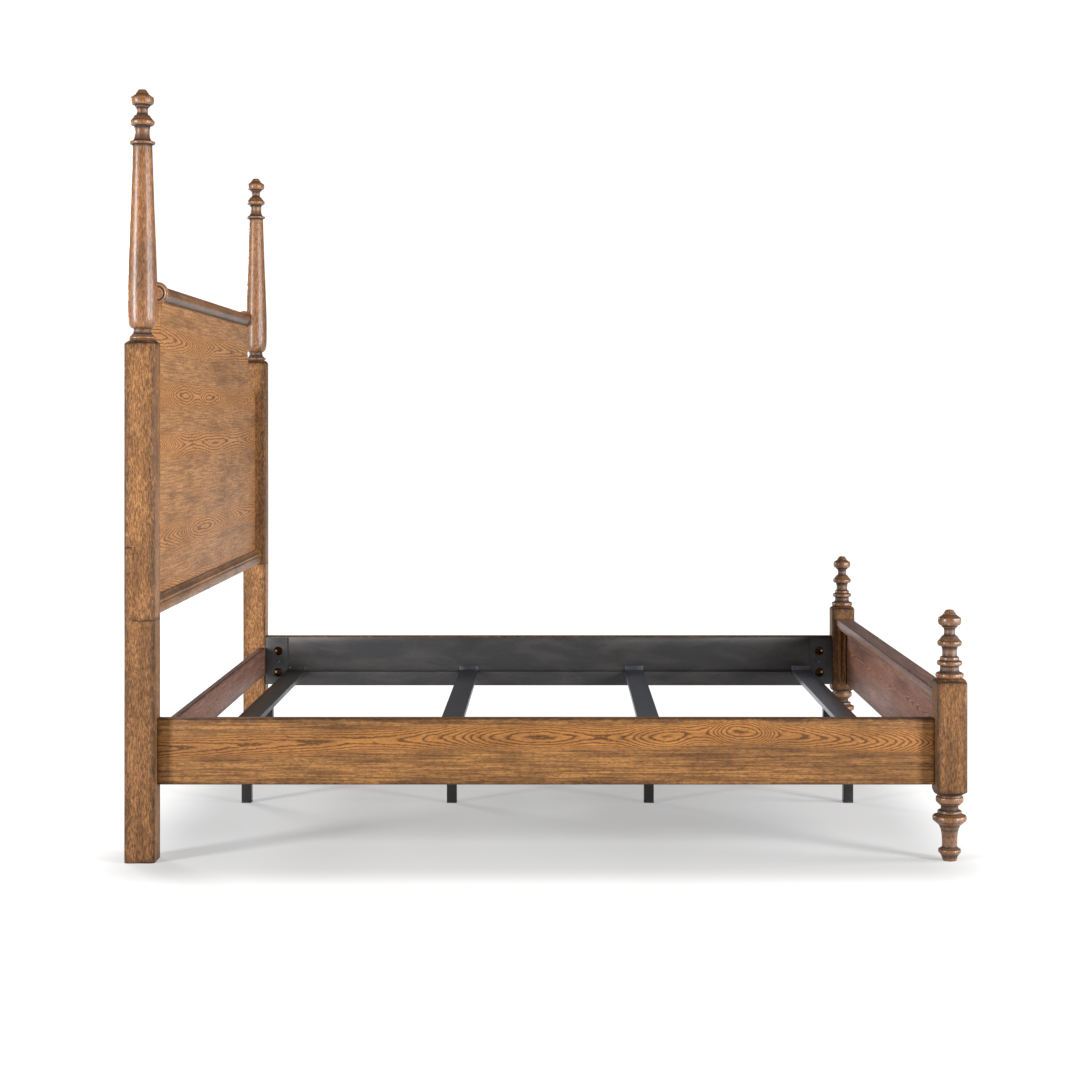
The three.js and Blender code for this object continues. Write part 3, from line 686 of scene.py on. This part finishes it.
LAP_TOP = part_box("head_leg_near")[1].z + GAP
LAP_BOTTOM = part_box("head_post_block_near")[0].z
HEAD_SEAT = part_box("head_post_block_near")[1].z
FOOT_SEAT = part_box("foot_post_block_near")[1].z
FOOT_BLOCK_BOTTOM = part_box("foot_post_block_near")[0].z
LAP_SEAM_X = 23 * MM - HALF_POST
LAP_BOLT_Z = (0.695, 0.795)
LAP_BOLT_R = 9 * MM
RING = post_ring(HALF_POST)


def clamped(ring, low, high):
    return [Vector((min(max(p.x, low), high), p.y)) for p in ring]


def at(ring, z):
    return [(p.x, p.y, z) for p in ring]


# Painted light: the far legs are made lighter and the near ones darker, for how the lamps reach them.
LEG_LIGHTING_TONE = {"near": 0.88, "far": 1.3}
BLOCK_TONE = {"near": 1.02, "far": 1.02}


def head_post(tag, s):
    y = s * POST_Y
    place = (HEAD_X, y, 0)
    low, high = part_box(f"head_leg_{tag}")
    seed = 11 + s * 3
    wood = oak(f"head_leg_oak_{tag}", "z", (HEAD_X, y, 0), seed, box=(low, high),
               tone=LEG_LIGHTING_TONE[tag], **POST_TONES)
    tongue = clamped(RING, -1, LAP_SEAM_X)
    rims = [*reversed(flat_end(RING, 0, -1)), at(RING, LAP_BOTTOM - GAP), at(tongue, LAP_BOTTOM - GAP),
            at(tongue, LAP_TOP - GAP)]
    leg = swept_block(rims, place)
    leg = sink_lap_bolts(leg, y)
    make(f"head_leg_{tag}_oak", leg, [wood], [f"head_leg_{tag}"])

    low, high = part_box(f"head_post_block_{tag}")
    wood = oak(f"head_block_oak_{tag}", "z", (HEAD_X, y, 0), seed + 20,
               box=(low, high - LATHE_DROP), tone=BLOCK_TONE[tag], **POST_TONES)
    cheek = clamped(RING, LAP_SEAM_X + GAP, 1)
    rims = [at(cheek, LAP_BOTTOM), at(cheek, LAP_TOP), at(RING, LAP_TOP), *turned_end(RING, HEAD_SEAT, 1)]
    make(f"head_post_block_{tag}_oak", swept_block(rims, place), [wood],
         [f"head_post_block_{tag}"])

    wood = oak(f"head_turning_oak_{tag}", "z", (HEAD_X + 0.004, y + 0.006, 0), seed + 40, turned=True,
               rough=0.44, coat=0.22, coat_rough=0.25, specular=0.45, **TURN_TONES)
    shaft = raised(HEAD_SHAFT, (HEAD_SEAT + GAP) / MM)
    knob_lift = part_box(f"head_post_turning_{tag}")[1].z / MM - KNOB[-1][2]
    turned_piece(f"head_post_turning_{tag}_oak", [*shaft, *raised(KNOB, knob_lift)], place, wood,
                 [f"head_post_turning_{tag}"])


def sink_lap_bolts(bm, y):
    """Counterbores in the back of the lap, with their rims eased."""
    for z in LAP_BOLT_Z:
        r = LAP_BOLT_R + 1 * MM
        cut = [(0, -0.002), (r + 0.003, -0.002), (r + 0.0008, 0.0), (r, 0.0009), (r, 0.007), (0, 0.007)]
        tool = turn(cut, 48)
        bmesh.ops.transform(tool, matrix=Matrix(((0, 0, 1, HEAD_BACK_X), (1, 0, 0, y), (0, 1, 0, z),
                                                  (0, 0, 0, 1))), verts=tool.verts)
        bm = carve(bm, tool)
    return bm


def foot_post(tag, s):
    y = s * POST_Y
    place = (FOOT_X, y, 0)
    low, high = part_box(f"foot_post_block_{tag}")
    seed = 61 + s * 3
    wood = oak(f"foot_block_oak_{tag}", "z", (FOOT_X, y, 0), seed,
               box=(low + LATHE_DROP, high - LATHE_DROP), edge=0.0045,
               tone=0.72, **POST_TONES)
    rims = [*reversed(turned_end(RING, FOOT_BLOCK_BOTTOM, -1)), *turned_end(RING, FOOT_SEAT, 1)]
    make(f"foot_post_block_{tag}_oak", swept_block(rims, place), [wood],
         [f"foot_post_block_{tag}"])

    wood = oak(f"foot_turning_oak_{tag}", "z", (FOOT_X + 0.005, y - 0.004, 0), seed + 20, turned=True,
               rough=0.42, coat=0.26, coat_rough=0.2, specular=0.5, tone=0.78, **TURN_TONES)
    knob_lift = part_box(f"foot_finial_{tag}")[1].z / MM - KNOB[-1][2]
    finial = [*raised(FOOT_BASE, (FOOT_SEAT + GAP) / MM), *raised(KNOB, knob_lift)]
    turned_piece(f"foot_finial_{tag}_oak", finial, place, wood, [f"foot_finial_{tag}"])
    turned_piece(f"turned_foot_{tag}_oak", TURNED_FOOT, place, wood, [f"turned_foot_{tag}"])


for side_tag, side_sign in SIDES:
    head_post(side_tag, side_sign)
    foot_post(side_tag, side_sign)

# ---- headboard ----------------------------------------------------------------------------

PANEL_LOW, PANEL_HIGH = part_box("headboard_panel")
# Each flat-sawn strip's height, and its figure from the near side to the far one, as (place, growth
# rings passed).
HEADBOARD_BANDS = ((1.411, ((-1, 3), (-0.6, 5), (-0.35, 8), (0.05, 19), (0.35, 21), (1, 23))),
                   (1.252, ((-1, 22), (-0.83, 17), (-0.42, 3), (-0.2, 5), (0.0, 2), (0.57, 18), (1, 24))),
                   (1.109, ((-1, 2), (-0.8, 5), (-0.35, 16), (0.1, 14.5), (0.55, 16), (1, 12))),
                   (0.848, ((-1, 16), (-0.5, 9), (-0.1, 2), (0.2, 5), (0.6, 13), (1, 15))),
                   (0.683, ((-1, 5), (-0.5, 12), (0, 21), (0.3, 18), (0.7, 8), (1, 2))))
SCOOP = [(0, 1262), (25, 1273), (88, 1321), (142, 1357), (168, 1385), (181, 1430), (191, 1478), (208, 1508)]
ROLL_X = sum(c.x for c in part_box("headboard_roll")) / 2
ROLL_Z = sum(c.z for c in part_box("headboard_roll")) / 2
ROLL_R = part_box("headboard_roll")[1].x - ROLL_X
MOULDING_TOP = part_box("headboard_bottom_moulding")[1].z
PANEL_EASE = 1.5 * MM


def spline(points, count):
    """Catmull-Rom points through the given ones."""
    whole = [points[0], *points, points[-1]]
    made = []
    for i in range(len(points) - 1):
        p0, p1, p2, p3 = (Vector(p) for p in whole[i:i + 4])
        for k in range(count):
            t = k / count
            made.append(0.5 * (2 * p1 + (p2 - p0) * t + (2 * p0 - 5 * p1 + 4 * p2 - p3) * t * t
                               + (3 * p1 - p0 - 3 * p2 + p3) * t ** 3))
    return [*made, Vector(points[-1])]


def prism(points, axis_low, axis_high, place):
    """A flat outline pushed from one value of the remaining axis to another; place maps
    (a, b, depth) to a point."""
    bm = bmesh.new()
    near = [bm.verts.new(place(a, b, axis_low)) for a, b in points]
    far = [bm.verts.new(place(a, b, axis_high)) for a, b in points]
    bm.faces.new(near)
    bm.faces.new(list(reversed(far)))
    for k in range(len(points)):
        after = (k + 1) % len(points)
        bm.faces.new((near[k], near[after], far[after], far[k]))
    bmesh.ops.recalc_face_normals(bm, faces=bm.faces)
    return bm


def headboard_panel():
    inner = PANEL_HIGH.y
    scoop = [(inner - p.x * MM, p.y * MM) for p in spline(SCOOP, 6)]
    half = [(inner, PANEL_LOW.z), *scoop, (scoop[-1][0], PANEL_HIGH.z)]
    points = half + [(-y, z) for y, z in reversed(half)]
    panel = prism(points, PANEL_LOW.x, PANEL_HIGH.x, lambda a, b, d: (d, a, b))
    panel = carve(panel, rod(-0.8, 0.8, ROLL_X, ROLL_Z, ROLL_R + GAP, SEGMENTS))
    # Its seams paint shade on the veneer just under the roll and just above the base moulding.
    veneer = oak("headboard_veneer", "y", (PANEL_HIGH.x, 0, 0), 83, bands=HEADBOARD_BANDS,
                 half=0.03, power=1.3, rough=0.55, smudge=0.25, mottling=0.35, specular=0.15,
                 seams=((Z_AXIS, ROLL_Z - ROLL_R, 5 * MM), (Z_AXIS, MOULDING_TOP, 6 * MM)),
                 **PANEL_TONES)
    lipping = oak("headboard_edge", "y", (PANEL_HIGH.x, 0, 0), 84, tone=0.3, **PANEL_TONES)
    make("headboard_panel_oak", ease(panel, PANEL_EASE, 2, 40, material=1), [veneer, lipping],
         ["headboard_panel"])


def headboard_roll():
    low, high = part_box("headboard_roll")
    # Its seam paints shade over the roll's lower part, up from its underside.
    wood = oak("roll_oak", "y", (ROLL_X + 0.003, 0, ROLL_Z - 0.004), 31, rough=0.42, coat=0.25, smudge=0.7,
               seams=((Z_AXIS, ROLL_Z - ROLL_R, 28 * MM),), **TURN_TONES)
    roll = rod(low.y, high.y, ROLL_X, ROLL_Z, ROLL_R, SEGMENTS, 0.5 * MM)
    make("headboard_roll_oak", roll, [wood], ["headboard_roll"])
    for tag, s in SIDES:
        low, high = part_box(f"roll_end_cap_{tag}")
        cap_wood = oak(f"roll_cap_oak_{tag}", "y", (ROLL_X, 0, ROLL_Z), 35 + s, turned=True, rough=0.42,
                       coat=0.4, coat_rough=0.2, specular=0.5, **TURN_TONES)
        cap = turned_piece(f"roll_end_cap_{tag}_oak", ROLL_CAP, (0, 0, 0), cap_wood,
                           [f"roll_end_cap_{tag}"])
        start = low.y if s > 0 else high.y
        cap.data.transform(Matrix(((1, 0, 0, ROLL_X), (0, 0, s, start), (0, 1, 0, ROLL_Z), (0, 0, 0, 1))))
        if s > 0:
            cap.data.flip_normals()


def headboard_moulding():
    moulding_oak = oak("base_moulding_oak", "y", (PANEL_HIGH.x, 0, 0.65), 47, rough=0.42, coat=0.1,
                       smudge=0.6, specular=0.5, **POST_TONES)
    low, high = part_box("headboard_bottom_moulding")
    section = [(0, 45), (0, 0), (19, 0), (19, 24), (14.5, 26), (14.5, 28), (15.6, 29.3), (16, 31),
               (15.4, 32.9), (14, 34), (11.6, 34.9), (9, 36.2), (6, 38.2), (4, 40), (2.4, 42.4), (1.5, 45)]
    bar = prism(section, low.y, high.y, lambda a, b, d: (low.x + a * MM, d, low.z + b * MM))
    make("headboard_bottom_moulding_oak", ease(bar, 0.5 * MM, 1, 45), [moulding_oak],
         ["headboard_bottom_moulding"])


def head_stretcher():
    low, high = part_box("head_stretcher")
    wood = oak("stretcher_oak", "y", (high.x, 0, high.z), 53, box=(low, high), edge=0.004,
               smudge=0.5, **RED_TONES)
    make("head_stretcher_oak", from_cad("head_stretcher", 1.2 * MM, 3), [wood],
         ["head_stretcher"])


headboard_panel()
headboard_roll()
headboard_moulding()
head_stretcher()

# ---- footboard ----------------------------------------------------------------------------

FOOTBOARD_BANDS = ((0.33, ((-1, 4), (-0.5, 10), (-0.1, 13), (0.2, 8), (0.6, 1), (1, 6))),)


def footboard():
    low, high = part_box("footboard_panel")
    veneer = oak("footboard_veneer", "y", (low.x, 0, 0), 71, bands=FOOTBOARD_BANDS,
                 half=0.03, rough=0.5, smudge=0.5, **RED_TONES)
    outside = oak("footboard_outside", "y", (high.x, 0, 0), 72, bands=FOOTBOARD_BANDS, smudge=0.4,
                  **RAIL_TONES)
    panel = from_cad("footboard_panel", 0.8 * MM)
    for face in panel.faces:
        face.material_index = int(face.calc_center_median().x > high.x - 1 * MM)
    make("footboard_panel_oak", panel, [veneer, outside], ["footboard_panel"])
    low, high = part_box("footboard_cap")
    cap_wood = oak("footboard_cap_oak", "y", (low.x, 0, high.z), 75, box=(low, high), edge=0.003,
                   rough=0.42, coat=0.1, smudge=0.3, specular=0.5, **RED_TONES)
    make("footboard_cap_oak", from_cad("footboard_cap", 2 * MM, 4), [cap_wood],
         ["footboard_cap"])
    reeding = dict(rough=0.42, coat=0.1, smudge=0.4, **TURN_TONES)
    reed_wood = oak("reeding_oak", "z", (low.x, 0, 0), 78, **reeding)
    top_reed = oak("top_reeding_oak", "y", (low.x, 0, 0), 79, **reeding)
    make("footboard_moulding_top_oak", from_cad("footboard_moulding_top", 0.8 * MM, 3), [top_reed],
         ["footboard_moulding_top"])
    for tag, _ in SIDES:
        make(f"footboard_moulding_{tag}_oak", from_cad(f"footboard_moulding_{tag}", 0.8 * MM, 3),
             [reed_wood], [f"footboard_moulding_{tag}"])


footboard()

# ---- side rails ---------------------------------------------------------------------------

# Each rail's flat-sawn figure from head to foot, as (place, growth rings passed).
RAIL_FIGURE = {
    "near": ((-1.046, 16), (-0.62, 18.4), (-0.47, 19), (-0.31, 17), (-0.13, 11), (-0.02, 9.4), (0.15, 11.2),
             (0.29, 7.2), (0.33, 6.6), (0.41, 7.8), (0.52, 2.4), (0.63, 9.6), (0.68, 10.2), (1.046, 24)),
    "far": ((-1.046, 22), (-0.7, 11), (-0.45, 6), (-0.3, 8), (-0.1, 3), (0.25, 14), (0.5, 15), (0.75, 10),
            (1.046, 8)),
}
# The height of the figure's middle from head to foot, as (place, height).
RAIL_RISE = ((-1.046, 0.302), (-0.6, 0.32), (-0.2, 0.33), (0.3, 0.333), (0.5, 0.348), (0.75, 0.33),
             (1.046, 0.318))
ACCESS_R = 16.5 * MM
ACCESS_FROM_POST = 47 * MM
ACCESS_Z = (0.2486, 0.327)
ACCESS_FLOOR_Y = 1.0
PLATE_SCREW_R = 4.5 * MM


def access_tools(y0, y1, ends):
    """Round cutters for the bolt access holes, from y0 to y1."""
    tools = []
    for end, d in ends:
        x = (HEAD_FRONT_X if end == "head" else FOOT_FRONT_X) + d * ACCESS_FROM_POST
        tools += [rod(min(y0, y1), max(y0, y1), x, z, ACCESS_R, 56) for z in ACCESS_Z]
    return tools


def side_rail(tag, s):
    low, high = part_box(f"side_rail_{tag}")
    inner = low.y if s > 0 else high.y
    outer = high.y if s > 0 else low.y
    board = block(low, high, 1.4 * MM, 3)
    for tool in access_tools(inner - s * 0.002, s * ACCESS_FLOOR_Y, ENDS):
        board = carve(board, tool)
    wood = oak(f"rail_oak_{tag}", "x", (0, outer, 0), 90 + s * 5, box=(low, high), edge=0.0035,
               bands=((RAIL_RISE, RAIL_FIGURE[tag]),), half=0.026, smudge=0.3, **RAIL_TONES)
    make(f"side_rail_{tag}_oak", board, [wood], [f"side_rail_{tag}"])

    low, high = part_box(f"rail_liner_{tag}")
    sheet = block(low, high, 0.5 * MM, 2)
    for tool in access_tools(low.y - 0.002, high.y + 0.002, ENDS):
        sheet = carve(sheet, tool)
    make(f"rail_liner_{tag}_steel", sheet, [frame_steel], [f"rail_liner_{tag}"])
    make(f"rail_ledge_{tag}_steel", from_cad(f"rail_ledge_{tag}", 0.8 * MM, 3), [frame_steel],
         [f"rail_ledge_{tag}"])
    for end, d in ENDS:
        end_plate(tag, s, end, d)


def end_plate(tag, s, end, d):
    node = f"rail_end_plate_{tag}_{end}"
    low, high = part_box(node)
    plate = block(low, high, 0.8 * MM, 2)
    for tool in access_tools(low.y - 0.002, high.y + 0.002, [(end, d)]):
        plate = carve(plate, tool)
    x = (HEAD_FRONT_X if end == "head" else FOOT_FRONT_X) + d * ACCESS_FROM_POST
    z = sum(ACCESS_Z) / 2
    plate = carve(plate, rod(low.y - 0.002, high.y + 0.002, x, z, PLATE_SCREW_R, 32))
    make(f"{node}_steel", plate, [plate_steel], [node])
    face = low.y if s > 0 else high.y
    screw(f"plate_screw_{tag}_{end}", (x, face - s * 0.0002, z), (0, -s, 0), 4.3 * MM)
    for index in (1, 2):
        bolt = f"bed_bolt_{tag}_{end}_{index}"
        make(f"{bolt}_zinc", from_cad(bolt, 0.4 * MM), [zinc], [bolt])


def screw(name, place, outward, radius):
    """A round-headed screw with a cross recess, its head standing on a face."""
    dome = 0.38 * radius
    rows = [(0, -0.5 * MM), (radius, -0.5 * MM), (radius, 0.1 * MM)]
    rows += [(radius * math.cos(a), 0.1 * MM + dome * math.sin(a)) for a in (0.3, 0.6, 0.9, 1.2, 1.45)]
    head = turn([*rows, (0, 0.1 * MM + dome)], 32)
    for wide, deep in ((0.62, 0.13), (0.13, 0.62)):
        low = (-wide * radius, -deep * radius, dome * 0.35)
        head = carve(head, block(low, (wide * radius, deep * radius, dome * 2)))
    turn_to = Vector((0, 0, 1)).rotation_difference(Vector(outward)).to_matrix().to_4x4()
    bmesh.ops.transform(head, matrix=Matrix.Translation(place) @ turn_to, verts=head.verts)
    make(name, head, [screw_steel], sharp=40)


for side_tag, side_sign in SIDES:
    side_rail(side_tag, side_sign)

for side_tag, _ in SIDES:
    for index in (1, 2):
        node_name = f"lap_bolt_{side_tag}_{index}"
        make(f"{node_name}_zinc", from_cad(node_name, 0.6 * MM), [zinc], [node_name])

# ---- slats --------------------------------------------------------------------------------

# Each slat's steel from head to foot: base and rubbed colours, and roughness. The colours grow lighter and
# bluer towards the foot: a painted sheen.
SLAT_SHEEN_LOOKS = (((0.045, 0.043, 0.042), (0.075, 0.068, 0.062), 0.4),
              ((0.05, 0.052, 0.062), (0.075, 0.078, 0.09), 0.34),
              ((0.075, 0.08, 0.1), (0.115, 0.12, 0.145), 0.34),
              ((0.15, 0.155, 0.185), (0.21, 0.21, 0.25), 0.3))
TAB_SCREW_OFF = 27 * MM
TAB_SCREW_UP = 8 * MM
CAP_TALL = 5 * MM

for number, (base, rubbed, rough) in enumerate(SLAT_SHEEN_LOOKS, 1):
    steel = black_steel(f"slat_steel_{number}", 20 + number, base, rubbed, 0.6, rough)
    make(f"slat_{number}_steel", from_cad(f"slat_{number}", 0.7 * MM, 2), [steel],
         [f"slat_{number}"])
    slat_low, slat_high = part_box(f"slat_{number}")
    slat_x = (slat_low.x + slat_high.x) / 2
    for side_tag, side_sign in SIDES:
        leg_node = f"slat_leg_{number}_{side_tag}"
        low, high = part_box(leg_node)
        face = side_sign * (slat_high.y - 3 * MM)
        for letter, off in (("a", -TAB_SCREW_OFF), ("b", TAB_SCREW_OFF)):
            screw(f"tab_screw_{number}_{side_tag}_{letter}",
                  (slat_x + off, face, slat_high.z - TAB_SCREW_UP), (0, -side_sign, 0), 3.4 * MM)
        tube = block((low.x, low.y, CAP_TALL), high, 1.2 * MM, 3)
        make(f"{leg_node}_steel", tube, [leg_steel], [leg_node])
        grow = Vector((0.0004, 0.0004, 0))
        cap = block(low - grow, (high.x + grow.x, high.y + grow.y, CAP_TALL - 0.0002), 1.0 * MM, 2)
        make(f"slat_leg_cap_{number}_{side_tag}", cap, [cap_plastic], [leg_node])

# ---- room ---------------------------------------------------------------------------------

FLOOR_HALF = 40.0
SHADE_HALF = (1.16, 1.26)
SHADE_EDGE = 0.36
SHADE_DEPTH = 0.62
GLOW_NEAR = (1.5, 0.8)
GLOW_FAR = (8.0, 0.98)


def floor():
    """A backlit white floor, its glow turned down in a soft-edged patch under the bed: a painted shadow."""
    bm = bmesh.new()
    corners = ((-1, -1), (1, -1), (1, 1), (-1, 1))
    bm.faces.new([bm.verts.new((x * FLOOR_HALF, y * FLOOR_HALF, 0)) for x, y in corners])
    mesh = bpy.data.meshes.new("floor")
    bm.to_mesh(mesh)
    bm.free()
    g = Graph("floor_paint")
    place = g.node("TexCoord").outputs["Object"]
    split = g.node("SeparateXYZ", {0: place})
    # The painted shadow: a soft-edged patch under the bed where the glow is turned down.
    painted_shadow = 1.0
    for axis, half in enumerate(SHADE_HALF):
        off = g.math("ABSOLUTE", split.outputs[axis])
        within = g.remap(off, half - SHADE_EDGE / 2, half + SHADE_EDGE / 2, 1.0, 0.0)
        painted_shadow = g.math("MULTIPLY", painted_shadow, within)
    away = g.node("VectorMath", {0: place}, operation="LENGTH").outputs["Value"]
    glow = g.remap(away, GLOW_NEAR[0], GLOW_FAR[0], GLOW_NEAR[1], GLOW_FAR[1])
    kept = g.math("MULTIPLY_ADD", painted_shadow, -SHADE_DEPTH, 1.0)
    g.put(g.bsdf.inputs["Emission Color"], (1, 1, 1, 1))
    g.put(g.bsdf.inputs["Emission Strength"], g.math("MULTIPLY", glow, kept))
    dust = g.noise(g.stretch(place, 3, 3, 3), 3)
    shade = g.mix(dust, (0.39, 0.39, 0.39), (0.41, 0.41, 0.41))
    mesh.materials.append(g.surface(shade, 0.9, dust, 0.02, 0.2 * MM, specular=0.0))
    obj = bpy.data.objects.new("floor", mesh)
    scene.collection.objects.link(obj)


def softbox(name, place, target, size, power):
    light = bpy.data.lights.new(name, "AREA")
    light.shape = "RECTANGLE"
    light.size, light.size_y = size
    light.energy = power
    obj = bpy.data.objects.new(name, light)
    scene.collection.objects.link(obj)
    obj.location = place
    obj.rotation_euler = (Vector(target) - Vector(place)).to_track_quat("-Z", "Y").to_euler()


def studio(backdrop, fill):
    """A white backdrop that is seen brighter than it shines on the bed."""
    world = bpy.data.worlds.new("studio")
    world.use_nodes = True
    nodes, links = world.node_tree.nodes, world.node_tree.links
    seen = nodes.new("ShaderNodeMapRange")
    seen.inputs[3].default_value = fill
    seen.inputs[4].default_value = backdrop
    links.new(nodes.new("ShaderNodeLightPath").outputs["Is Camera Ray"], seen.inputs[0])
    nodes["Background"].inputs[0].default_value = (1, 1, 1, 1)
    links.new(seen.outputs[0], nodes["Background"].inputs[1])
    scene.world = world


floor()
studio(1.1, 0.17)
softbox("left_softbox", (-5.75, -4.8, 1.7), (-0.2, -0.4, 0.9), (1.15, 3.0), 620)
softbox("right_softbox", (5.3, -4.3, 1.7), (0.2, -0.4, 0.9), (1.25, 3.0), 520)
softbox("foot_softbox", (6.2, -1.2, 1.7), (0.0, 0.0, 0.9), (1.8, 2.4), 300)
softbox("back_softbox", (-4.6, 4.0, 2.2), (-0.2, 0.6, 0.9), (2.0, 2.0), 260)
scene.view_settings.view_transform = "Standard"
